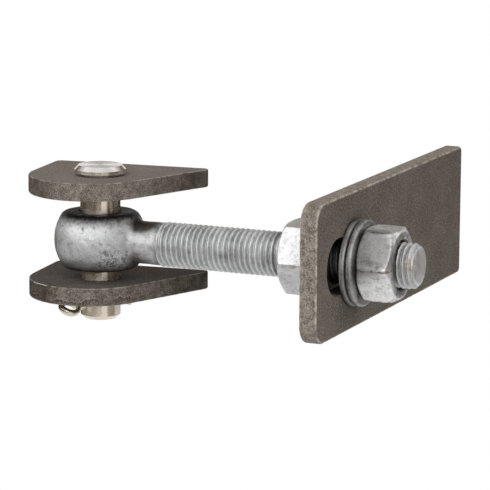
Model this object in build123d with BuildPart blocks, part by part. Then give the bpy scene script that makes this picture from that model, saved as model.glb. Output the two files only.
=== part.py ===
"""Adjustable weld-on gate hinge.

An eye bolt turns on a pin between two lugs that are welded to the post.
Two nuts on its thread clamp a slotted plate that is welded to the gate.
Frame: origin where the pin's axis meets the bolt's axis, +Z up the pin,
+X along the bolt towards its free end. Millimetres.
"""
import os
from math import acos, atan2, cos, degrees, hypot, radians, sin, tan

from build123d import *

# Hinge pin
pin_diameter = 17.8
pin_clearance = 0.08  # radial, in the lugs and in the eye
pin_overhang = 9.9  # below the lower lug
pin_end_chamfer = 1.7
head_diameter = 23.0
head_height = 3.8
head_top_chamfer = 1.8
head_under_chamfer = 0.5
head_gap = 0.6  # head above the upper lug

# Lugs, seen from above with the weld edge at the back
lug_thickness = 8.0
lug_spacing = 38.4  # clear height between the two lugs
lug_nose_radius = 27.5
lug_square_side = 32.0  # pin axis to the straight side
lug_taper_reach = 42.8  # pin axis to the corner of the tapered side
lug_setback = 31.0  # pin axis to the weld edge
lug_corner_radius = 3.0
lug_burr_radius = 0.4  # upper rim, where the punch left
lug_roll_radius = 0.9  # lower rim, where the punch entered
lug_turn = 6.0  # degrees that the lugs stand turned from square to the bolt

# Eye bolt
eye_diameter = 41.0
eye_width = 25.0  # between the flats of the eye
eye_edge_radius = 3.5
eye_mouth_chamfer = 0.8
eye_rise = 5.0  # eye above the lower lug
shank_diameter = 19.0
neck_radius = 3.0
thread_diameter = 19.8
thread_start = 31.0  # from the eye's centre
thread_runout = 0.5
bolt_length = 150.5  # eye's centre to the free end
bolt_end_chamfer = 1.6

# Nuts and washers
nut_width = 30.0  # across flats
nut_height = 16.0
nut_face_ratio = 0.95  # diameter of the flat end face over the width
nut_chamfer_angle = 30.0
nut_cone_overrun = 1.0  # cone drawn past the corners
nut_clearance = 0.08  # radial, on the thread's crests
nut_mouth_chamfer = 0.9
nut_turns = {"inner_nut": 3.5, "outer_nut": 1.5}  # degrees from flats level
washer_diameter = 37.5
washer_bore = 21.0
washer_thickness = 3.0
washer_edge_radius = 0.5
washer_seat_gap = 0.05  # bore above the thread, where the washer hangs on it

# Gate plate
plate_length = 180.0
plate_height = 60.0
plate_thickness = 8.0
plate_near_radius = 9.0  # corners beside the slot
plate_far_radius = 2.5
plate_edge_radius = 1.2
plate_front = 120.7  # face on the free end's side, from the pin axis
plate_rise = 0.4  # plate's middle above the bolt's axis, as clamped
slot_length = 62.0
slot_height = 25.0
slot_margin = 11.5  # near end of the plate to the slot's end

# Split pin
split_hole_diameter = 4.0
split_leg_radius = 1.75  # half-round wire
split_leg_gap = 0.05  # flat of each leg from the middle plane
split_lug_gap = 1.75  # top of the cross hole below the lower lug
split_flare_radius = 2.5  # where the legs part into the eye
split_eye_radius = 3.3  # inside of the eye
split_eye_standoff = 2.8  # eye's start outside the pin
split_leg_reach = 7.0  # straight leg outside the pin
split_bend_start = 2.0  # bent leg leaves the straight here, outside the pin
split_bend_radius = 5.0
split_bend_angle = 25.0
split_heading = 61.5  # degrees from +X towards +Y, from the eye to the legs
split_tilt = 58.0  # degrees that the eye leans from upright

# Places that follow from the sizes
pin_radius = pin_diameter / 2
eye_bottom = -eye_width / 2
lower_lug_top = eye_bottom - eye_rise
lower_lug_bottom = lower_lug_top - lug_thickness
upper_lug_bottom = lower_lug_top + lug_spacing
upper_lug_top = upper_lug_bottom + lug_thickness
head_bottom = upper_lug_top + head_gap
pin_bottom = lower_lug_bottom - pin_overhang
split_hole_height = lower_lug_bottom - split_lug_gap - split_hole_diameter / 2
plate_back = plate_front - plate_thickness
washer_drop = (washer_bore - thread_diameter) / 2 - washer_seat_gap
washer_places = {
    "inner_nut_washer": plate_back - 2 * washer_thickness,
    "inner_plate_washer": plate_back - washer_thickness,
    "outer_plate_washer": plate_front,
    "outer_nut_washer": plate_front + washer_thickness,
}
nut_places = {
    "inner_nut": plate_back - 2 * washer_thickness - nut_height,
    "outer_nut": plate_front + 2 * washer_thickness,
}

os.makedirs("parts", exist_ok=True)


def save(piece, name):
    """Label a finished piece and write it as its own STEP file."""
    piece.label = name
    export_step(piece, f"parts/{name}.step")


# Lugs: one straight side, a round nose and a tapered side that runs tangent from the nose
nose_centre_x = lug_nose_radius - lug_square_side
taper_run = lug_taper_reach - nose_centre_x
taper_bearing = atan2(lug_setback, taper_run) - acos(lug_nose_radius / hypot(taper_run, lug_setback))
nose_sweep = 180 + degrees(taper_bearing)

for lug_name, lug_height in (("upper_lug", upper_lug_bottom), ("lower_lug", lower_lug_bottom)):
    with BuildPart() as lug:
        with BuildSketch(Plane.XY.offset(lug_height).rotated((0, 0, lug_turn))):
            with BuildLine():
                side = Line((-lug_square_side, lug_setback), (-lug_square_side, 0))
                nose = JernArc(side @ 1, side % 1, lug_nose_radius, nose_sweep)
                taper = Line(nose @ 1, (lug_taper_reach, lug_setback))
                Line(taper @ 1, side @ 0)
            outline = make_face()
            fillet(outline.vertices().group_by(Axis.Y)[-1], lug_corner_radius)
            Circle(pin_radius + pin_clearance, mode=Mode.SUBTRACT)
        extrude(amount=lug_thickness)
        fillet(lug.faces().sort_by(Axis.Z)[0].outer_wire().edges(), lug_roll_radius)
        fillet(lug.faces().sort_by(Axis.Z)[-1].outer_wire().edges(), lug_burr_radius)
    save(lug.part, lug_name)

# Hinge pin: turned in one piece, head up, with a cross hole for the split pin
split_direction = Vector(cos(radians(split_heading)), sin(radians(split_heading)), 0)
with BuildPart() as hinge_pin:
    with BuildSketch(Plane.XZ):
        with BuildLine():
            head_radius = head_diameter / 2
            head_top = head_bottom + head_height
            Polyline(
                (0, pin_bottom),
                (pin_radius - pin_end_chamfer, pin_bottom),
                (pin_radius, pin_bottom + pin_end_chamfer),
                (pin_radius, head_bottom),
                (head_radius - head_under_chamfer, head_bottom),
                (head_radius, head_bottom + head_under_chamfer),
                (head_radius, head_top - head_top_chamfer),
                (head_radius - head_top_chamfer, head_top),
                (0, head_top),
                close=True,
            )
        make_face()
    revolve(axis=Axis.Z)
    with BuildSketch(Plane((0, 0, split_hole_height), z_dir=split_direction)):
        Circle(split_hole_diameter / 2)
    extrude(amount=pin_diameter, both=True, mode=Mode.SUBTRACT)
save(hinge_pin.part, "hinge_pin")

# Split pin: half-round wire bent double, with an eye at the near end and one leg bent over
split_across = Vector(
    -sin(radians(split_tilt)) * split_direction.Y,
    sin(radians(split_tilt)) * split_direction.X,
    cos(radians(split_tilt)),
)
split_plane = Plane((0, 0, split_hole_height), x_dir=split_direction, z_dir=split_direction.cross(split_across))
eye_start = -(pin_radius + split_eye_standoff)
leg_end = pin_radius + split_leg_reach
bend_start = pin_radius + split_bend_start
flare_rise = split_leg_gap + split_flare_radius
flare_run = ((split_flare_radius + split_eye_radius) ** 2 - flare_rise**2) ** 0.5
flare_angle = degrees(atan2(flare_run, flare_rise))
bent_run = leg_end - bend_start - radians(split_bend_angle) * split_bend_radius
with BuildPart() as split_pin:
    with BuildLine(split_plane) as wire:
        straight_leg = Line((leg_end, split_leg_gap), (eye_start, split_leg_gap))
        flare_out = JernArc(straight_leg @ 1, straight_leg % 1, split_flare_radius, -flare_angle)
        loop = JernArc(flare_out @ 1, flare_out % 1, split_eye_radius, 180 + 2 * flare_angle)
        flare_in = JernArc(loop @ 1, loop % 1, split_flare_radius, -flare_angle)
        bent_leg = Line(flare_in @ 1, (bend_start, -split_leg_gap))
        bend = JernArc(bent_leg @ 1, bent_leg % 1, split_bend_radius, -split_bend_angle)
        Line(bend @ 1, bend @ 1 + (bend % 1) * bent_run)
    with BuildSketch(Plane(straight_leg @ 0, x_dir=split_plane.y_dir, z_dir=straight_leg % 0)):
        with BuildLine():
            flat = Line((0, -split_leg_radius), (0, split_leg_radius))
            ThreePointArc(flat @ 1, (split_leg_radius, 0), flat @ 0)
        make_face()
    sweep(path=wire.wire())
save(split_pin.part, "split_pin")

# Eye bolt: forged ball with two flats, plain neck and a thread cut to the free end
with BuildPart() as eye_bolt:
    Sphere(eye_diameter / 2)
    split(bisect_by=Plane.XY.offset(eye_width / 2), keep=Keep.BOTTOM)
    split(bisect_by=Plane.XY.offset(eye_bottom), keep=Keep.TOP)
    fillet(eye_bolt.edges().filter_by(GeomType.CIRCLE), eye_edge_radius)
    with BuildSketch(Plane.YZ):
        Circle(shank_diameter / 2)
    extrude(amount=thread_start + thread_runout)
    fillet(eye_bolt.edges(Select.NEW).group_by(Axis.X)[0], neck_radius)
    with BuildSketch(Plane.YZ.offset(thread_start)):
        Circle(thread_diameter / 2)
    extrude(amount=bolt_length - thread_start)
    chamfer(eye_bolt.edges().group_by(Axis.X)[-1], bolt_end_chamfer)
    Cylinder(pin_radius + pin_clearance, eye_width, mode=Mode.SUBTRACT)
    chamfer(eye_bolt.edges(Select.LAST).filter_by(GeomType.CIRCLE), eye_mouth_chamfer)
save(eye_bolt.part, "eye_bolt")

# Nuts: hexagons turned down to a round face at both ends
nut_corner_radius = nut_width / 2 / cos(radians(30))
nut_face_radius = nut_width * nut_face_ratio / 2
cone_radius = nut_corner_radius + nut_cone_overrun
cone_depth = (cone_radius - nut_face_radius) * tan(radians(nut_chamfer_angle))
for nut_name, nut_start in nut_places.items():
    with BuildPart() as nut:
        with BuildSketch(Plane.YZ.offset(nut_start)):
            RegularPolygon(nut_width / 2, 6, major_radius=False, rotation=nut_turns[nut_name])
        extrude(amount=nut_height)
        with BuildSketch(Plane.XZ):
            with BuildLine():
                nut_end = nut_start + nut_height
                Polyline(
                    (nut_start, 0),
                    (nut_start, nut_face_radius),
                    (nut_start + cone_depth, cone_radius),
                    (nut_end - cone_depth, cone_radius),
                    (nut_end, nut_face_radius),
                    (nut_end, 0),
                    close=True,
                )
            make_face()
        revolve(axis=Axis.X, mode=Mode.INTERSECT)
        with BuildSketch(Plane.YZ.offset(nut_start)):
            Circle(thread_diameter / 2 + nut_clearance)
        extrude(amount=nut_height, mode=Mode.SUBTRACT)
        bore_rims = nut.edges().filter_by(GeomType.CIRCLE).sort_by(SortBy.RADIUS)[:2]
        chamfer(bore_rims, nut_mouth_chamfer)
    save(nut.part, nut_name)

# Washers: two on each side of the plate
for washer_name, washer_start in washer_places.items():
    with BuildPart() as washer:
        with BuildSketch(Plane.YZ.offset(washer_start)):
            with Locations((0, -washer_drop)):
                Circle(washer_diameter / 2)
                Circle(washer_bore / 2, mode=Mode.SUBTRACT)
        extrude(amount=washer_thickness)
        outer_rims = washer.edges().filter_by(GeomType.CIRCLE).sort_by(SortBy.RADIUS)[-2:]
        fillet(outer_rims, washer_edge_radius)
    save(washer.part, washer_name)

# Gate plate: flat bar with round corners and one slot, centred on the bolt
plate_shift = plate_length / 2 - slot_margin - slot_length / 2
with BuildPart() as gate_plate:
    with BuildSketch(Plane.YZ.offset(plate_back)) as plate_face:
        with Locations((plate_shift, plate_rise)):
            Rectangle(plate_length, plate_height)
        fillet(plate_face.vertices().group_by(Axis.X)[0], plate_near_radius)
        fillet(plate_face.vertices().group_by(Axis.X)[-1], plate_far_radius)
        with Locations((0, plate_rise)):
            SlotOverall(slot_length, slot_height, mode=Mode.SUBTRACT)
    extrude(amount=plate_thickness)
    plate_rims = [face.outer_wire().edges() for face in gate_plate.faces().filter_by(Axis.X)]
    fillet(plate_rims[0] + plate_rims[1], plate_edge_radius)
save(gate_plate.part, "gate_plate")
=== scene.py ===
"""Looks of the adjustable weld-on gate hinge: zinc-coated eye bolt, nuts and washers,
mill-scale lugs and plate, and a bright turned pin, in a white studio.
Lengths on the part are millimetres until a mesh is made, and lengths in the studio are metres.
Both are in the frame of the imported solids."""
import math

import bmesh
import bpy
import numpy as np
from mathutils import Matrix, Vector, noise


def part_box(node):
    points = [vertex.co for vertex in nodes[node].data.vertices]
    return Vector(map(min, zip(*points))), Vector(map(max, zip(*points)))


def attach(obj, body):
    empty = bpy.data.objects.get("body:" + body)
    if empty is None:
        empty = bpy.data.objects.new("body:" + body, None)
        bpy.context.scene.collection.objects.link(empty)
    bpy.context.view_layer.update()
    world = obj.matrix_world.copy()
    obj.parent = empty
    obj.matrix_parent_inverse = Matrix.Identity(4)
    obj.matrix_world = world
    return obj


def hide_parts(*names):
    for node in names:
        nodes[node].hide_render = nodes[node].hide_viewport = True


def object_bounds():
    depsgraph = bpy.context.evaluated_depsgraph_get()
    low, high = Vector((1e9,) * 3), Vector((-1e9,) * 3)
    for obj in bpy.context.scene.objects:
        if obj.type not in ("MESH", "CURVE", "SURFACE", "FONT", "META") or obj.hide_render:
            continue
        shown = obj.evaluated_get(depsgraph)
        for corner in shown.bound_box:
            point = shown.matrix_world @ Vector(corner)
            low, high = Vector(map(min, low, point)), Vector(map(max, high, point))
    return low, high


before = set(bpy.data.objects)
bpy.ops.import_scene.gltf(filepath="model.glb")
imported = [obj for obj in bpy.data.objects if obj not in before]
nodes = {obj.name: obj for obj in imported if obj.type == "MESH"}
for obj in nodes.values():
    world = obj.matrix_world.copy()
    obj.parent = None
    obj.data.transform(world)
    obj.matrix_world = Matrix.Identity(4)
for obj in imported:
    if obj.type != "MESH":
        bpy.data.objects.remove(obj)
cad_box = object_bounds()
scene = bpy.context.scene
MM = 0.001
X, Y, Z = range(3)

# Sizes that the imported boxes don't give, in millimetres
thread_pitch = 2.5
thread_diameter = 19.8
thread_depth = 1.45
thread_start = 31.0
thread_run_in = 2.2
crest_run_in = 0.6
shank_diameter = 19.0
bolt_end_chamfer = 1.6
pin_hole_radius = 9.05
nut_width = 30.0
nut_face_radius = 14.25
nut_chamfer_angle = math.radians(30)
nut_bore_radius = 9.98
nut_mouth_chamfer = 0.9
nut_turns = {"inner_nut": math.radians(3.5), "outer_nut": math.radians(1.5)}
washer_bore_radius = 10.5
washer_rim = 1.1
washer_mouth = 0.4
washer_play = 0.01  # keeps coated faces out of one plane with the plate's

# How zinc and forging soften those shapes: an exponent for the nuts' arrises, then millimetres
arris_sharpness = 90
cone_softness = 1.0
nut_swell, nut_swell_size = 0.05, 5.0
washer_swell, washer_swell_size = 0.07, 6.0
forging_swell, forging_swell_size = 0.16, 9.0
forging_grain, forging_grain_size = 0.07, 2.6

# Fineness of the meshes: points round a ring, thread steps to a pitch, and lengths in millimetres
thread_segments = 96
thread_steps = 11
nut_segments = 288
washer_segments = 192
forging_voxel = 0.55
solid_seam = 0.002
ring_seam = 0.001

# Places where the finish or the painted light and shade differ, in millimetres
eye_end, neck_start = 19, 24
# Where the bolt's end face gets painted light
tip_start, tip_end = 140, 146
crest_radius, root_radius = 9.6, 8.5
lug_middle = 9.0
# Where a painted highlight on a burr sits on the lower lug's arris
lug_burr_highlight = (-16, -22)
burr_rise = 5
# Middle of the painted highlight on the eye's front
eye_painted_highlight = (-4, -20, 3)
neck_dark_patch = (23, -3, 10)
neck_shade = (21, -7, -8)
crack_field = (13, -14, -9.5)
rust_patch = (148.6, -8.6, 2.6)
# Middle of a dark patch on the outer nut: partly a smudge, partly the plate's painted shadow
outer_nut_smudge_and_shadow = (132, -13, 7)

# Colours, and how far the greys of mill scale and of the studio's cards lean to brown
rust_brown = (0.74, 0.50, 0.32, 1.0)
nut_brown = (0.33, 0.26, 0.19, 1.0)
pin_tint, pin_shade = (0.78, 0.70, 0.60, 1), (0.70, 0.62, 0.52, 1)
split_pin_tint, split_pin_shade = (0.70, 0.64, 0.54, 1), (0.56, 0.50, 0.41, 1)
scale_warmth = 0.15
flag_warmth = 0.34

# Camera, as it stood for the photograph of 490 x 490 pixels
image_size = 490
camera_azimuth = math.radians(23.464)
camera_elevation = math.radians(10.79)
camera_roll = math.radians(0.338)
camera_distance = 1.29915
focal_pixels = 2928.9
origin_pixel = (100.48, 238.45)
sensor_width = 36.0

# Studio: the light from all sides, and the floor in metres
ambient_level = 0.22
floor_height = -0.30
floor_reach = 6.0
floor_shade = 0.86

# Cards for metal to mirror: bearings in degrees right of the camera, reach, heights and shade
flag_reach = 0.35
flag_heights = (-0.088, 0.04)
flags = {
    "back_left_flag": ((-175, -112), flag_reach, (-0.13, 0.04), 0.10),
    "low_left_flag": ((-112, -76), flag_reach, (-0.13, -0.088), 0.10),
    "left_flag": ((-112, -6), flag_reach, flag_heights, 0.115),
    "camera_flag": ((-6, 9), flag_reach, flag_heights, 0.02),
    "right_flag": ((38, 75), flag_reach, flag_heights, 0.40),
    "side_flag": ((75, 118), flag_reach, flag_heights, 0.04),
    "back_right_flag": ((118, 185), flag_reach, flag_heights, 0.04),
    "tall_flag": ((45, 90), 0.9, (-0.3, 0.7), 0.06),
    "back_flag": ((130, 230), 2.0, (0.42, 2.4), 0.30),
}

# Softboxes: direction from the object, distance, size, and the brightness each gives a white card
lamps = {
    "key": ((-0.58, -0.66, 0.47), 1.4, 1.3, 0.36),
    "front": ((0.22, -0.84, 0.50), 1.5, 1.0, 0.42),
    "side": ((0.80, 0.15, 0.58), 1.3, 0.7, 0.26),
}


def corners(node):
    """Lowest and highest corner of a solid, in millimetres."""
    low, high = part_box(node)
    return np.array(low) / MM, np.array(high) / MM


class Shader:
    """A principled material that is put together node by node."""

    def __init__(self, name, **sockets):
        self.material = bpy.data.materials.new(name)
        self.material.use_nodes = True
        self.tree = self.material.node_tree
        self.surface = self.tree.nodes["Principled BSDF"]
        self.coords = self.tree.nodes.new("ShaderNodeTexCoord")
        self.place = self.coords.outputs["Object"]
        self.feed(self.surface, sockets)

    def feed(self, node, inputs):
        """Links a node's inputs to sockets, or sets them to plain values."""
        for socket, value in inputs.items():
            if isinstance(value, bpy.types.NodeSocket):
                self.tree.links.new(value, node.inputs[socket])
            else:
                node.inputs[socket].default_value = value

    def add(self, kind, inputs, output=0, **settings):
        """One output of a new node."""
        node = self.tree.nodes.new("ShaderNode" + kind)
        for key, value in settings.items():
            setattr(node, key, value)
        self.feed(node, inputs)
        return node.outputs[output]

    def finish(self, colour, roughness, normal, **others):
        """Feeds the surface and gives the finished material."""
        inputs = {"Base Color": colour, "Roughness": roughness, "Normal": normal}
        self.feed(self.surface, {**inputs, **others})
        return self.material

    def math(self, operation, first, second=0.0):
        return self.add("Math", {0: first, 1: second}, operation=operation)

    def plus(self, first, second):
        return self.math("ADD", first, second)

    def minus(self, first, second):
        return self.math("SUBTRACT", first, second)

    def times(self, first, second):
        return self.math("MULTIPLY", first, second)

    def off(self, value, middle):
        """How far a value lies from a middle, to either side."""
        return self.math("ABSOLUTE", self.minus(value, middle))

    def band(self, value, start, end, low=0.0, high=1.0):
        """value from start to end becomes low to high, smoothly and clamped."""
        inputs = {"Value": value, "From Min": start, "From Max": end, "To Min": low, "To Max": high}
        return self.add("MapRange", inputs, interpolation_type="SMOOTHSTEP")

    def noise(self, scale, detail=3.0, roughness=0.55, vector=None):
        """Noise from 0 to 1 with scale features to a metre."""
        inputs = {"Vector": vector or self.place, "Scale": scale}
        return self.add("TexNoise", {**inputs, "Detail": detail, "Roughness": roughness})

    def warped(self, reach):
        """The place, shifted about by noise as far as reach, in millimetres."""
        swirl = self.add("TexNoise", {"Vector": self.place, "Scale": 260}, output=1)
        centred = self.add("VectorMath", {0: swirl, 1: (0.5, 0.5, 0.5)}, operation="SUBTRACT")
        moved = self.add("VectorMath", {0: centred, "Scale": 2 * reach * MM}, operation="SCALE")
        return self.add("VectorMath", {0: self.place, 1: moved}, operation="ADD")

    def stretched(self, factors):
        """The place, scaled along each axis."""
        return self.add("Mapping", {"Vector": self.place, "Scale": factors})

    def split(self, vector, axis):
        return self.add("SeparateXYZ", {0: vector}, output=axis)

    def facing(self, axis):
        """How far a surface faces along an axis of its own object, from -1 to 1."""
        return self.split(self.coords.outputs["Normal"], axis)

    def coordinate(self, axis):
        """Place along an axis of the frame, in millimetres."""
        return self.math("DIVIDE", self.split(self.place, axis), MM)

    def reach(self, axis):
        """Distance from an axis of the frame, in metres."""
        keep = [float(other != axis) for other in range(3)]
        across = self.add("VectorMath", {0: self.place, 1: keep}, operation="MULTIPLY")
        return self.add("VectorMath", {0: across}, output=1, operation="LENGTH")

    def near(self, point, inner, outer):
        """1 within inner millimetres of a point, fading to 0 at outer, with a ragged border."""
        ends = {0: self.warped(1.8), 1: tuple(c * MM for c in point)}
        distance = self.add("VectorMath", ends, output=1, operation="DISTANCE")
        return self.band(distance, outer * MM, inner * MM)

    def occlusion_shade(self, reach, start, end):
        """Mask for painted shade in deep corners: 0 where surfaces within reach millimetres leave start
        open, 1 where only end.
        """
        openness = self.add("AmbientOcclusion", {"Distance": reach * MM}, output=1, samples=8)
        return self.band(openness, start, end)

    def mix(self, factor, first, second, **settings):
        inputs = {0: factor, 6: first, 7: second}
        return self.add("Mix", inputs, output=2, data_type="RGBA", **settings)

    def ramp(self, value, start, end, first, second):
        """Colours from first to second where value runs from start to end."""
        return self.mix(self.band(value, start, end), first, second)

    def stain(self, colour, factor, tint):
        """Multiplies a colour by a tint, as far as factor says."""
        return self.mix(factor, colour, tint, blend_type="MULTIPLY")

    def bump(self, height, depth):
        """A normal for a height of 0 to 1 that stands for depth millimetres."""
        return self.add("Bump", {"Height": height, "Distance": depth * MM, "Strength": 1.0})


def grey(value, warmth=0.0):
    """A grey that leans to brown by warmth, or to blue where that is negative."""
    return (value * (1 + warmth), value, value * (1 - warmth), 1.0)


def rolled_face(s, level, cloud, speck):
    """Colour of a rolled face: clouded dark scale with fine dark and pale specks."""
    dark = grey(level * 0.86, scale_warmth)
    pale = grey(level * 1.10, scale_warmth * 0.85)
    colour = s.ramp(cloud, 0.34, 0.66, dark, pale)
    colour = s.stain(colour, s.band(speck, 0.50, 0.34), grey(0.54))
    return s.mix(s.band(speck, 0.52, 0.66, 0.0, 0.62), colour, grey(level * 2.2, scale_warmth * 0.8))


def cut_edge(s, level, clump):
    """Colour of a cut edge: clumps of gritty steel."""
    grit = s.noise(1750, 2, 0.7)
    dark = grey(level * 0.70, scale_warmth)
    pale = grey(level * 1.20, scale_warmth)
    colour = s.ramp(clump, 0.32, 0.68, dark, pale)
    colour = s.stain(colour, s.band(grit, 0.50, 0.34), grey(0.42, 0.05))
    return s.mix(s.band(grit, 0.54, 0.70, 0.0, 0.60), colour, grey(level * 2.2, scale_warmth * 0.8))


def torn_line(s, height):
    """Masks of a ragged, broken line about a height up Z: its lip, for a painted highlight, and the
    painted shadow under it.
    """
    sway = s.times(s.minus(s.noise(95, 5, 0.6), 0.5), 14.0)
    above = s.minus(s.minus(s.coordinate(Z), height), sway)
    torn = s.band(s.noise(48, 2), 0.42, 0.55)
    lip = s.band(s.off(above, 0.25), 0.45, 0.15)
    shadow = s.times(s.band(above, -1.6, -0.5), s.band(above, 0.1, -0.4))
    return s.times(torn, lip), s.times(torn, shadow)


def mill_scale(name, face_axis, face, edge, sheen, shade_flanks=False, tear_height=None, shade_slot=False):
    """Hot-rolled steel: dark scale on the faces along face_axis, grit on the cut edges, and painted
    highlights on the arrises.
    face and edge are how light these are, and sheen is their specular level.
    A lug's edge can get painted shade to both sides of the lug; a torn edge has a ragged line at
    tear_height, with a painted highlight on its lip and a painted shadow under it.
    The plate can get painted shade in its slot and close to the washers."""
    s = Shader(name, **{"Specular IOR Level": sheen})
    cloud = s.noise(60, 5, 0.65)
    speck = s.noise(1250, 2, 0.7)
    clump = s.noise(330, 3, 0.6)
    cut = cut_edge(s, edge, clump)
    relief = s.plus(speck, s.times(clump, 1.2))
    if shade_flanks:
        # Painted shade on the lug's edge towards both of its sides
        painted_flank_shade = s.band(s.off(s.coordinate(X), lug_middle), 12.0, 26.0)
        cut = s.stain(cut, s.times(painted_flank_shade, s.band(cloud, 0.30, 0.60, 1.0, 0.6)), grey(0.30, 0.06))
    if tear_height is not None:
        lip, shadow = torn_line(s, tear_height)
        # Painted shadow under the torn line, and a painted highlight on its lip
        cut = s.stain(cut, shadow, grey(0.60))
        cut = s.mix(s.times(lip, 0.5), cut, grey(edge * 1.9, scale_warmth * 0.7))
        relief = s.plus(relief, lip)
    flat = s.math("ABSOLUTE", s.facing(face_axis))
    colour = s.mix(s.band(flat, 0.80, 0.985), cut, rolled_face(s, face, cloud, speck))
    # Painted highlights along the arrises, broken up by noise
    arris = s.times(s.band(flat, 0.30, 0.65), s.band(flat, 0.99, 0.93))
    broken = s.band(s.noise(330, 3), 0.38, 0.60, 0.15, 1.0)
    colour = s.mix(s.times(arris, broken), colour, grey(edge * 2.0, scale_warmth * 0.7))
    if tear_height is not None:
        # Painted highlight on a burr along the lower lug's arris
        burr_highlight = s.times(arris, s.near((*lug_burr_highlight, tear_height + burr_rise), 5.0, 11.0))
        colour = s.mix(s.times(burr_highlight, s.band(clump, 0.40, 0.56)), colour, grey(0.8, 0.02))
    if shade_slot:
        # Painted shade in the slot and on the plate close to the washers
        colour = s.stain(colour, s.occlusion_shade(20, 0.74, 0.30), grey(0.08))
    rough = s.band(speck, 0.25, 0.75, 0.50, 0.70)
    return s.finish(colour, rough, s.bump(relief, 0.14))


def zinc_coat(s, level, blue=0.008):
    """Hot-dip zinc: its colour with clouds, mottling and a dull speckle, its sheen and its relief."""
    cloud = s.noise(110, 4, 0.6)
    mottle = s.noise(430, 4, 0.65)
    speckle = s.noise(1700, 3, 0.7)
    colour = s.ramp(cloud, 0.34, 0.66, grey(level * 0.84, -blue), grey(level * 1.12, -blue))
    colour = s.stain(colour, s.band(mottle, 0.50, 0.28), grey(0.66))
    colour = s.stain(colour, s.band(speckle, 0.48, 0.30), grey(0.74))
    return colour, s.plus(cloud, mottle), s.plus(mottle, s.times(speckle, 0.4))


def stain_eye(s, colour, on_eye):
    """Eye and neck: a painted highlight in front, painted shade over the top and under the bottom of the
    eye, a dark brown patch on top of the neck, and painted shade below the neck.
    """
    ragged = s.times(s.minus(s.noise(520, 5, 0.75), 0.5), 6.0)
    height = s.plus(s.coordinate(Z), ragged)
    colour = s.stain(colour, on_eye, grey(0.82))
    # Painted highlight: a paler patch on the eye's front, where the key lamp shines
    colour = s.mix(s.times(s.near(eye_painted_highlight, 3.0, 12.0), 0.36), colour, grey(0.95, -0.01))
    # Painted shade over the top of the eye, under the upper lug, and under its bottom
    colour = s.stain(colour, s.times(on_eye, s.band(height, 6.5, 12.5)), grey(0.07, 0.06))
    colour = s.stain(colour, s.times(on_eye, s.band(height, -5.0, -12.5)), grey(0.30, 0.04))
    # A dark brown patch on top of the neck
    colour = s.stain(colour, s.near(neck_dark_patch, 4.5, 9.5), grey(0.16, 0.16))
    # Painted shade below the neck
    return s.stain(colour, s.near(neck_shade, 2.0, 8.0), grey(0.40, 0.10))


def eye_flaws(s, on_eye):
    """Masks of the cracks low on the eye's front, and of the scabs all over it."""
    ridge = s.off(s.noise(360, 4, 0.6, s.warped(0.6)), 0.5)
    cracks = s.times(s.band(ridge, 0.030, 0.006), s.near(crack_field, 4.0, 12.0))
    scabs = s.times(s.band(s.noise(620, 4, 0.7), 0.60, 0.72, 0.0, 0.7), on_eye)
    return cracks, scabs


def stain_thread(s, colour, along, level):
    """Thread: painted shade in its roots and in deep corners, a painted highlight on the end face, and a
    little rust.
    """
    on_thread = s.band(along, thread_start, thread_start + 1)
    # Painted shade in the roots of the thread
    painted_root_shade = s.times(s.band(s.reach(X), crest_radius * MM, root_radius * MM), on_thread)
    colour = s.stain(colour, painted_root_shade, grey(0.80))
    # Painted shade where nearby surfaces close the thread in, as in the plate's slot and the nut's mouth
    colour = s.stain(colour, s.occlusion_shade(25, 0.48, 0.22), grey(0.12, 0.03))
    # Painted light: the bolt's end face, turned to +X, is made paler
    end = s.times(s.band(s.facing(X), 0.8, 0.97), s.band(along, tip_start, tip_end))
    colour = s.mix(s.times(end, 0.6), colour, grey(level * 1.7, 0.02))
    rust = s.times(s.near(rust_patch, 1.0, 4.5), s.band(s.noise(420, 3), 0.46, 0.62))
    return s.stain(colour, rust, rust_brown)


def forged_zinc(name, level):
    """Zinc over a forging: scaly and cracked on the eye, with a painted highlight, painted shade and a
    dark patch on the eye and neck, soft in the thread.
    """
    s = Shader(name, Metallic=0.72)
    colour, uneven, relief = zinc_coat(s, level)
    along = s.coordinate(X)
    on_eye = s.band(along, neck_start, eye_end)
    colour = stain_eye(s, colour, on_eye)
    cracks, scabs = eye_flaws(s, on_eye)
    colour = s.stain(colour, cracks, grey(0.34, 0.05))
    colour = s.stain(colour, scabs, grey(0.50, 0.02))
    colour = stain_thread(s, colour, along, level)
    relief = s.minus(relief, s.plus(cracks, scabs))
    return s.finish(colour, s.band(uneven, 0.7, 1.3, 0.40, 0.58), s.bump(relief, 0.22))


def worn_arris(s, turn):
    """Mask of the worn places along a nut's six arrises, for a nut that is turned about X."""
    angle = s.math("ARCTAN2", s.coordinate(Z), s.coordinate(Y))
    sixth = s.math("FRACT", s.math("DIVIDE", s.plus(angle, 4 * math.pi - turn), math.pi / 3))
    arris = s.band(s.off(sixth, 0.5), 0.445, 0.49)
    return s.times(arris, s.band(s.noise(260, 4, 0.65), 0.40, 0.56))


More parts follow.
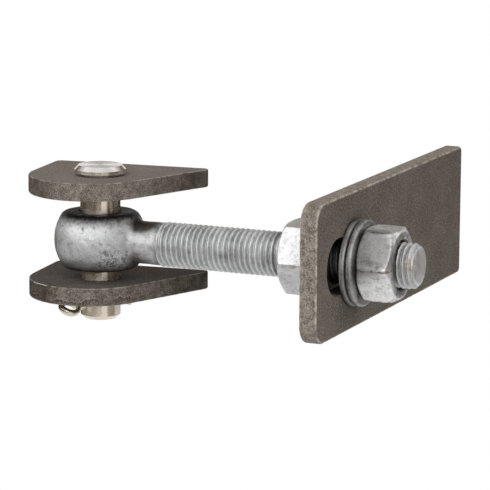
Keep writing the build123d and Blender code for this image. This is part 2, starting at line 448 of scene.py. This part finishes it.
def nut_zinc(name, level, turn, stains, rough, outward, smudge_and_shadow):
    """Zinc on a nut: brown along worn arrises, painted shade in its mouth and on the face towards the
    plate, painted light on the face turned outward.
    outward is the sign along X in which the nut faces, and the last argument is the middle of a dark
    patch that is partly a smudge and partly the plate's painted shadow."""
    s = Shader(name, Metallic=0.75)
    colour, uneven, relief = zinc_coat(s, level, 0.004)
    # Painted light on the face turned outward, and painted shade on the face towards the plate
    away = s.times(s.facing(X), outward)
    colour = s.mix(s.band(away, 0.10, 0.45, 0.0, 0.15), colour, grey(level * 1.5))
    colour = s.stain(colour, s.band(away, -0.15, -0.50), grey(0.15, 0.04))
    colour = s.stain(colour, s.band(s.noise(185, 6, 0.75), 0.50, 0.36), grey(0.62, 0.02))
    colour = s.stain(colour, s.times(worn_arris(s, turn), stains), nut_brown)
    # A dark patch on the upper front facet: partly a smudge, partly the plate's painted shadow
    if smudge_and_shadow:
        colour = s.stain(colour, s.near(smudge_and_shadow, 8.0, 15.0), grey(0.36, 0.02))
    # Painted shade in the nut's mouth, round the thread
    mouth = nut_bore_radius + nut_mouth_chamfer
    colour = s.stain(colour, s.band(s.reach(X), (mouth + 0.5) * MM, mouth * MM), grey(0.12, 0.05))
    pits = s.band(s.noise(420, 2, 0.5), 0.66, 0.76, 0.0, 0.6)
    colour = s.stain(colour, pits, grey(0.45, 0.04))
    return s.finish(colour, s.band(uneven, 0.7, 1.3, rough - 0.08, rough + 0.08), s.bump(relief, 0.12))


def washer_zinc(name, level):
    """Duller zinc on the washers, brown in the grooves between them."""
    s = Shader(name, Metallic=0.75)
    colour, uneven, relief = zinc_coat(s, level, 0.0)
    colour = s.stain(colour, s.band(s.noise(260, 6, 0.75), 0.50, 0.36), grey(0.62, 0.06))
    for groove in (corners("inner_plate_washer")[0][X], corners("outer_plate_washer")[1][X]):
        depth = s.off(s.coordinate(X), groove)
        colour = s.stain(colour, s.band(depth, 0.9, 0.3), grey(0.25, 0.12))
    return s.finish(colour, s.band(uneven, 0.7, 1.3, 0.36, 0.55), s.bump(relief, 0.14))


def bright_steel(name, tint, shade, turned=0.0, head_height=None):
    """Bright steel. Turned work has fine tool lines round Z, and a greyer head above head_height."""
    s = Shader(name, Metallic=1.0, Anisotropic=turned, **{"Anisotropic Rotation": 0.25})
    drawn_out = (0.12, 0.12, 1.6) if turned else (1, 1, 1)
    lines = s.noise(700, 3, 0.6, s.stretched(drawn_out))
    colour = s.ramp(s.noise(90, 3, 0.5), 0.35, 0.65, shade, tint)
    if head_height is not None:
        rings = s.noise(900, 2, 0.5, s.add("CombineXYZ", {"X": s.reach(Z)}))
        faced = s.ramp(rings, 0.40, 0.60, grey(0.56, 0.04), grey(0.65, 0.045))
        colour = s.mix(s.band(s.coordinate(Z), head_height + 0.6, head_height + 3.4), colour, faced)
    colour = s.stain(colour, s.band(lines, 0.52, 0.34, 0.0, 0.2), grey(0.88, 0.02))
    rough = s.band(lines, 0.3, 0.7, 0.22, 0.28)
    others = {}
    if turned:
        others["Tangent"] = s.add("Tangent", {}, direction_type="RADIAL", axis="Z")
    return s.finish(colour, rough, s.bump(lines, 0.0015), **others)


def add_object(name, data):
    """A new object in the scene."""
    thing = bpy.data.objects.new(name, data)
    scene.collection.objects.link(thing)
    return thing


def add_piece(name, mesh, body, node, material):
    """A finished mesh takes the place of a solid on its body."""
    piece = add_object(name, mesh)
    mesh.materials.append(material)
    mesh.shade_smooth()
    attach(piece, body)
    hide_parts(node)


def around_x(x, radius, angle):
    """Points on rings about the X axis, angle measured from +Y towards +Z."""
    x, radius, angle = np.broadcast_arrays(x, radius, angle)
    return np.stack([x, radius * np.cos(angle), radius * np.sin(angle)], axis=-1).reshape(-1, 3)


def quads(rows, columns):
    """Faces of a grid of points whose columns close into a ring."""
    row, column = np.meshgrid(np.arange(rows - 1), np.arange(columns), indexing="ij")
    here = row * columns + column
    beside = row * columns + (column + 1) % columns
    return np.stack([here, beside, beside + columns, here + columns], axis=-1).reshape(-1, 4)


def ring_mesh(name, points, segments):
    """Mesh of rings that follow each other round a section, with closed seams and faces outward."""
    mesh = bpy.data.meshes.new(name)
    faces = quads(len(points) // segments, segments)
    mesh.from_pydata((points * MM).tolist(), [], faces.tolist())
    bm = bmesh.new()
    bm.from_mesh(mesh)
    bmesh.ops.remove_doubles(bm, verts=bm.verts, dist=ring_seam * MM)
    bmesh.ops.recalc_face_normals(bm, faces=bm.faces)
    bm.to_mesh(mesh)
    bm.free()
    return mesh


def unevenness(points, size, seed):
    """Smooth noise from about -1 to 1 at each point, with features of that size."""
    shift = Vector((seed * 7.1, seed * 3.3, seed * 5.7))
    return np.array([noise.noise(Vector(p) / size + shift) for p in points])


def thread_profile(turn):
    """Height of the thread, from 0 in its root to 1 on its crest, at each share of a turn."""
    ridge = 2 * np.abs(turn - 0.5)
    painted_flank_shade = np.clip((ridge - 0.12) / 0.74, 0, 1)
    return 0.55 * painted_flank_shade + 0.45 * painted_flank_shade**2 * (3 - 2 * painted_flank_shade)


def threaded_rod(start, end):
    """Points and faces of the bolt's thread: a right-hand helix, coated soft, with a chamfered end."""
    steps = int(round((end - start) / thread_pitch * thread_steps))
    x = np.linspace(start, end, steps)[:, None]
    angle = np.linspace(0, 2 * np.pi, thread_segments, endpoint=False)[None, :]
    turn = (x / thread_pitch - angle / (2 * np.pi)) % 1.0
    crest_rise = (thread_diameter - shank_diameter) / 2
    crest = shank_diameter / 2 + crest_rise * np.clip((x - start) / crest_run_in, 0, 1)
    share = np.clip((x - start) / thread_run_in, 0, 1)
    radius = crest - thread_depth * share * (1 - thread_profile(turn))
    radius = np.minimum(radius, thread_diameter / 2 - bolt_end_chamfer + (end - x))
    insets = (0.75, 0.5, 0.25, 0.05)
    end_face = [around_x(end, radius[-1] * inset, angle[0]) for inset in insets]
    points = np.concatenate([around_x(x, radius, angle)] + end_face)
    faces = quads(steps + len(insets), thread_segments).tolist()
    faces.append(list(range(len(points) - thread_segments, len(points))))
    return points, faces


def cut_off(bm, x):
    """Takes away what lies beyond a place along X, in millimetres."""
    everything = bm.verts[:] + bm.edges[:] + bm.faces[:]
    plane = {"plane_co": (x * MM, 0, 0), "plane_no": (1, 0, 0)}
    bmesh.ops.bisect_plane(bm, geom=everything, clear_outer=True, **plane)


def open_edges(bm):
    """Edges with a face on one side only."""
    return [edge for edge in bm.edges if edge.is_boundary]


def remeshed_eye(end):
    """Mesh of the solid's eye and neck as far as end, in fine even faces."""
    bm = bmesh.new()
    bm.from_mesh(nodes["eye_bolt"].data)
    bmesh.ops.remove_doubles(bm, verts=bm.verts, dist=solid_seam * MM)
    cut_off(bm, end)
    bmesh.ops.holes_fill(bm, edges=open_edges(bm))
    rough = bpy.data.meshes.new("eye_rough")
    bm.to_mesh(rough)
    bm.free()
    forging = add_object("eye_forging", rough)
    remesh = forging.modifiers.new("remesh", "REMESH")
    remesh.mode = "VOXEL"
    remesh.voxel_size = forging_voxel * MM
    smooth = forging.modifiers.new("smooth", "SMOOTH")
    smooth.factor = 0.5
    smooth.iterations = 3
    evaluated = forging.evaluated_get(bpy.context.evaluated_depsgraph_get())
    fine = bpy.data.meshes.new_from_object(evaluated)
    bpy.data.objects.remove(forging)
    return fine


def roughen(bm, end):
    """Makes a forging uneven, except in its bore, which stays open, and towards its end."""
    bm.normal_update()
    points = np.array([v.co for v in bm.verts]) / MM
    swell = forging_swell * unevenness(points, forging_swell_size, 1)
    swell += forging_grain * unevenness(points, forging_grain_size, 2)
    from_axis = np.hypot(points[:, X], points[:, Y])
    off_bore = np.clip((from_axis - 9.8) / 1.5, 0, 1)
    off_end = np.clip((end - 2 - points[:, X]) / 3, 0, 1)
    for vertex, lift, reach in zip(bm.verts, swell * (off_bore * off_end), from_axis):
        vertex.co += vertex.normal * lift * MM
        if reach < pin_hole_radius:
            vertex.co.xy *= pin_hole_radius / reach


def make_eye_bolt():
    """Forged eye and neck from the solid's own form, roughened and bridged to a cut thread."""
    end = thread_start - 1.0
    bm = bmesh.new()
    bm.from_mesh(remeshed_eye(end))
    cut_off(bm, end - 1.0)
    roughen(bm, end)
    points, faces = threaded_rod(thread_start, corners("eye_bolt")[1][X])
    rod = [bm.verts.new(point * MM) for point in points]
    for face in faces:
        bm.faces.new([rod[i] for i in face])
    bmesh.ops.bridge_loops(bm, edges=open_edges(bm))
    bmesh.ops.recalc_face_normals(bm, faces=bm.faces)
    mesh = bpy.data.meshes.new("forged_eye_bolt")
    bm.to_mesh(mesh)
    bm.free()
    material = forged_zinc("forged_zinc", level=0.58)
    add_piece("forged_eye_bolt", mesh, "eye_bolt", "eye_bolt", material)


def nearest(first, second, softness):
    """The smaller of two radii, with the corner between them rounded."""
    blend = np.clip(0.5 + 0.5 * (second - first) / softness, 0, 1)
    return second * (1 - blend) + first * blend - softness * blend * (1 - blend)


def nut_outside(start, height, turn, angle):
    """Points on a nut's outside: a hexagon with soft arrises, both ends turned to a cone."""
    sides = turn + np.radians(np.arange(6) * 60 + 30)[:, None]
    facing = np.clip(np.cos(angle - sides), 0, 1) ** arris_sharpness
    hexagon = nut_width / 2 / facing.sum(axis=0, keepdims=True) ** (1 / arris_sharpness)
    end_zone = 3.2
    near_end = np.geomspace(0.02, end_zone, 15)
    between = np.linspace(end_zone, height - end_zone, 16)[1:-1]
    x = np.concatenate([near_end, between, height - near_end[::-1]])[:, None]
    slope = 1 / math.tan(nut_chamfer_angle)
    cone = nut_face_radius + slope * np.minimum(x, height - x)
    points = around_x(start + x, nearest(hexagon, cone, cone_softness), angle)
    swell = nut_swell * unevenness(points, nut_swell_size, 3)
    return points + points * [0, 1, 1] / (nut_width / 2) * swell[:, None]


def make_nut(name, level, stains, rough, smudge_and_shadow=None):
    """Coated hexagon nut, open for the thread."""
    low, high = corners(name)
    start, height = low[X], high[X] - low[X]
    turn = nut_turns[name]
    angle = np.linspace(0, 2 * np.pi, nut_segments, endpoint=False)[None, :]
    mouth = nut_bore_radius + nut_mouth_chamfer
    rings = [
        (start + nut_mouth_chamfer, nut_bore_radius),
        (start + 0.12, mouth - 0.06),
        (start, mouth + 0.15),
        (start, nut_face_radius - 1.2),
        (start, nut_face_radius - 0.35),
    ]
    inlet = [around_x(x, radius, angle[0]) for x, radius in rings]
    outlet = [around_x(2 * start + height - x, radius, angle[0]) for x, radius in rings[::-1]]
    outside = nut_outside(start, height, turn, angle)
    points = np.concatenate(inlet + [outside] + outlet + inlet[:1])
    mesh = ring_mesh("coated_" + name, points, nut_segments)
    outward = 1 if start > corners("gate_plate")[1][X] else -1
    material = nut_zinc(name + "_zinc", level, turn, stains, rough, outward, smudge_and_shadow)
    add_piece("coated_" + name, mesh, name, name, material)


def washer_section(height, outer):
    """Places along X and radii round a washer's section, from its bore out and back again."""
    quarter = np.linspace(0, np.pi / 2, 8)
    rise = washer_rim * (1 - np.cos(quarter))
    run = outer - washer_rim * (1 - np.sin(quarter))
    half = [
        (height / 2, washer_bore_radius),
        (washer_mouth, washer_bore_radius),
        (0.0, washer_bore_radius + washer_mouth),
        (0.0, (washer_bore_radius + outer) / 2),
        *zip(rise, run),
    ]
    return half + [(height - x, radius) for x, radius in half[:0:-1]] + half[:1]


def make_washer(name, material):
    """Washer with both rims rounded by the zinc, and an edge that isn't quite even."""
    low, high = corners(name)
    start = low[X] + washer_play
    height = high[X] - low[X] - 2 * washer_play
    outer = (high[Z] - low[Z]) / 2
    angle = np.linspace(0, 2 * np.pi, washer_segments, endpoint=False)
    section = washer_section(height, outer)
    points = np.concatenate([around_x(start + x, radius, angle) for x, radius in section])
    on_rim = np.hypot(points[:, Y], points[:, Z]) > outer - 0.9
    swell = washer_swell * unevenness(points, washer_swell_size, start) * on_rim
    points += points * [0, 1, 1] / outer * swell[:, None]
    points += (low + high) / 2 * [0, 1, 1]
    mesh = ring_mesh("coated_" + name, points, washer_segments)
    add_piece("coated_" + name, mesh, "washers", name, material)


def finish_solids():
    """The solids that keep their own form get their materials."""
    low, high = corners("lower_lug")
    tear = 0.7 * low[Z] + 0.3 * high[Z]
    head = corners("upper_lug")[1][Z]
    finishes = {
        "upper_lug": mill_scale("upper_lug_scale", Z, 0.18, 0.22, 0.10, shade_flanks=True),
        # The lower lug's darker face and edge and lower sheen are painted shade under the upper lug
        "lower_lug": mill_scale("lower_lug_scale_shaded", Z, 0.11, 0.19, 0.02, shade_flanks=True, tear_height=tear),
        "gate_plate": mill_scale("plate_mill_scale", X, 0.17, 0.265, 0.10, shade_slot=True),
        "hinge_pin": bright_steel("pin_steel", pin_tint, pin_shade, turned=0.85, head_height=head),
        "split_pin": bright_steel("split_pin_steel", split_pin_tint, split_pin_shade),
    }
    for name, material in finishes.items():
        nodes[name].data.materials.clear()
        nodes[name].data.materials.append(material)


def add_camera():
    """Stands the camera so that the frame's origin falls on its pixel of the photograph."""
    a, e, r = camera_azimuth, camera_elevation, camera_roll
    forward = Vector((-math.sin(a) * math.cos(e), math.cos(a) * math.cos(e), -math.sin(e)))
    level = Vector((math.cos(a), math.sin(a), 0))
    above = level.cross(forward)
    right = math.cos(r) * level + math.sin(r) * above
    up = math.cos(r) * above - math.sin(r) * level
    across, down = ((p - image_size / 2) * camera_distance / focal_pixels for p in origin_pixel)
    data = bpy.data.cameras.new("camera")
    data.sensor_width = sensor_width
    data.lens = focal_pixels * sensor_width / image_size
    camera = add_object("camera", data)
    place = up * down - right * across - forward * camera_distance
    turned = Matrix((right, up, -forward)).transposed().to_4x4()
    camera.matrix_world = Matrix.Translation(place) @ turned
    scene.camera = camera


def add_lamp(name, direction, distance, size, level):
    """A square softbox aimed at the object; level is the brightness it gives a white card."""
    data = bpy.data.lights.new(name, "AREA")
    data.size = size
    data.energy = level * math.pi**2 * distance**2
    lamp = add_object(name, data)
    towards = Vector(direction).normalized()
    target = (cad_box[0] + cad_box[1]) / 2
    lamp.location = target + towards * distance
    lamp.rotation_euler = towards.to_track_quat("Z", "Y").to_euler()


def white_where_seen(tree, lit):
    """Adds nodes that show plain white to camera, glossy and transmission rays, and lit to the rest."""
    path = tree.nodes.new("ShaderNodeLightPath")
    seen = path.outputs["Is Camera Ray"]
    for ray in ("Is Glossy Ray", "Is Transmission Ray"):
        either = tree.nodes.new("ShaderNodeMath")
        either.operation = "MAXIMUM"
        tree.links.new(seen, either.inputs[0])
        tree.links.new(path.outputs[ray], either.inputs[1])
        seen = either.outputs[0]
    kind = "Background" if lit.type == "BACKGROUND" else "Emission"
    white = tree.nodes.new("ShaderNode" + kind)
    white.inputs["Color"].default_value = grey(1)
    choose = tree.nodes.new("ShaderNodeMixShader")
    tree.links.new(seen, choose.inputs[0])
    tree.links.new(lit.outputs[0], choose.inputs[1])
    tree.links.new(white.outputs[0], choose.inputs[2])
    return choose.outputs[0]


def matt_paint(name, colour, roughness):
    """A plain material for the studio, and its shader."""
    material = bpy.data.materials.new(name)
    material.use_nodes = True
    paint = material.node_tree.nodes["Principled BSDF"]
    paint.inputs["Base Color"].default_value = colour
    paint.inputs["Roughness"].default_value = roughness
    return material, paint


def add_sheet(name, points, material):
    """A flat part of the studio."""
    mesh = bpy.data.meshes.new(name)
    mesh.from_pydata(points, [], [(0, 1, 2, 3)])
    mesh.materials.append(material)
    sheet = add_object(name, mesh)
    return sheet


def add_flag(name, bearings, reach, heights, shade):
    """An upright matt card beside the object, out of the camera's sight, for metal to mirror."""
    material, _ = matt_paint(name, grey(shade, flag_warmth), 1.0)
    turns = [camera_azimuth + math.radians(bearing) for bearing in bearings]
    left, right = (Vector((math.sin(turn), -math.cos(turn), 0)) * reach for turn in turns)
    low, high = (Vector((0, 0, height)) for height in heights)
    card = add_sheet(name, [left + low, right + low, right + high, left + high], material)
    card.visible_camera = False
    card.visible_shadow = False


def add_surroundings():
    """A world that looks white and gives a little light from all sides."""
    world = bpy.data.worlds.new("studio")
    world.use_nodes = True
    scene.world = world
    tree = world.node_tree
    ambient = tree.nodes["Background"]
    ambient.inputs["Color"].default_value = grey(1)
    ambient.inputs["Strength"].default_value = ambient_level
    tree.links.new(white_where_seen(tree, ambient), tree.nodes["World Output"].inputs["Surface"])


def add_floor():
    """A pale floor well below the held part, white where it is seen."""
    material, paint = matt_paint("floor_white", grey(floor_shade), 0.9)
    tree = material.node_tree
    tree.links.new(white_where_seen(tree, paint), tree.nodes["Material Output"].inputs["Surface"])
    square = ((-1, -1), (1, -1), (1, 1), (-1, 1))
    points = [(x * floor_reach, y * floor_reach, floor_height) for x, y in square]
    add_sheet("floor", points, material)


make_eye_bolt()
make_nut("inner_nut", level=0.57, stains=0.25, rough=0.36)
make_nut("outer_nut", level=0.78, stains=0.9, rough=0.46, smudge_and_shadow=outer_nut_smudge_and_shadow)
washer_coat = washer_zinc("washer_zinc", level=0.34)
for washer in [name for name in nodes if name.endswith("washer")]:
    make_washer(washer, washer_coat)
finish_solids()
add_camera()
add_surroundings()
add_floor()
for flag, setting in flags.items():
    add_flag(flag, *setting)
for lamp, setting in lamps.items():
    add_lamp(lamp, *setting)
scene.view_settings.view_transform = "Standard"
